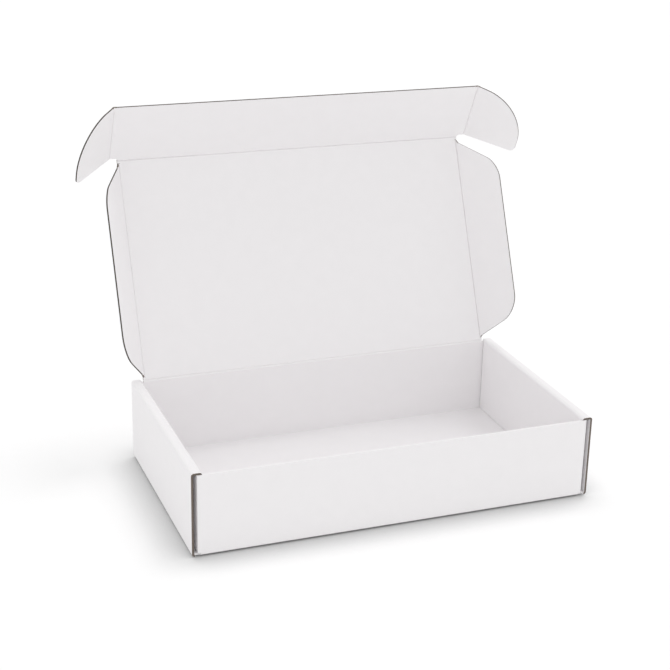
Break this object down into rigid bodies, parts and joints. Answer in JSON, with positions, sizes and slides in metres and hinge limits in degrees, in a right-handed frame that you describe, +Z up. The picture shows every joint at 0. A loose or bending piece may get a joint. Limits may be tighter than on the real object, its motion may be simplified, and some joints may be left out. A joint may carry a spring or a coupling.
{
  "type": "corrugated mailer box",
  "caption": "White corrugated roll-end mailer with double side walls, hinged lid, side flaps and an eared tuck flap, standing open.",
  "frame": {"origin": "middle of the underside of the tray, on the surface it stands on", "axes": "+X to the right along the front wall, +Y to the back, +Z up"},
  "size_m": [0.3586, 0.2352, 0.261],
  "materials": {
    "white_board": "matt white liner, brown fluted core at cut edges"
  },
  "bodies": {
    "tray": {"tray": "white_board"},
    "lid": {"lid_panel": "white_board"},
    "tuck_flap": {"tuck_flap": "white_board"},
    "ear_left": {"tuck_ear_left": "white_board"},
    "ear_right": {"tuck_ear_right": "white_board"},
    "side_flap_left": {"lid_side_flap_left": "white_board"},
    "side_flap_right": {"lid_side_flap_right": "white_board"}
  },
  "joints": [
    {"name": "lid_hinge", "type": "hinge", "parent": "tray", "child": "lid", "pos_m": [0, 0.08275, 0.06125], "axis": [1, 0, 0], "range_deg": [-81, 114]},
    {"name": "tuck_flap_crease", "type": "hinge", "parent": "lid", "child": "tuck_flap", "pos_m": [0, 0.15092, 0.21436], "axis": [1, 0, 0], "range_deg": [-51, 39]},
    {"name": "ear_crease_left", "type": "hinge", "parent": "tuck_flap", "child": "ear_left", "pos_m": [-0.14715, 0.15092, 0.21436], "axis": [0, -0.454, 0.891], "range_deg": [-44, 46]},
    {"name": "ear_crease_right", "type": "hinge", "parent": "tuck_flap", "child": "ear_right", "pos_m": [0.14715, 0.15092, 0.21436], "axis": [0, 0.454, -0.891], "range_deg": [-44, 46]},
    {"name": "side_flap_crease_left", "type": "hinge", "parent": "lid", "child": "side_flap_left", "pos_m": [-0.14025, 0.08275, 0.06125], "axis": [0, 0.4067, 0.9135], "range_deg": [-42.61, 59.96]},
    {"name": "side_flap_crease_right", "type": "hinge", "parent": "lid", "child": "side_flap_right", "pos_m": [0.14025, 0.08275, 0.06125], "axis": [0, -0.4067, -0.9135], "range_deg": [-42.61, 59.96]}
  ],
  "couplings": [
    {"joint": "side_flap_crease_left", "follows": "lid_hinge", "ratio": 0.526},
    {"joint": "side_flap_crease_right", "follows": "lid_hinge", "ratio": 0.526}
  ]
}
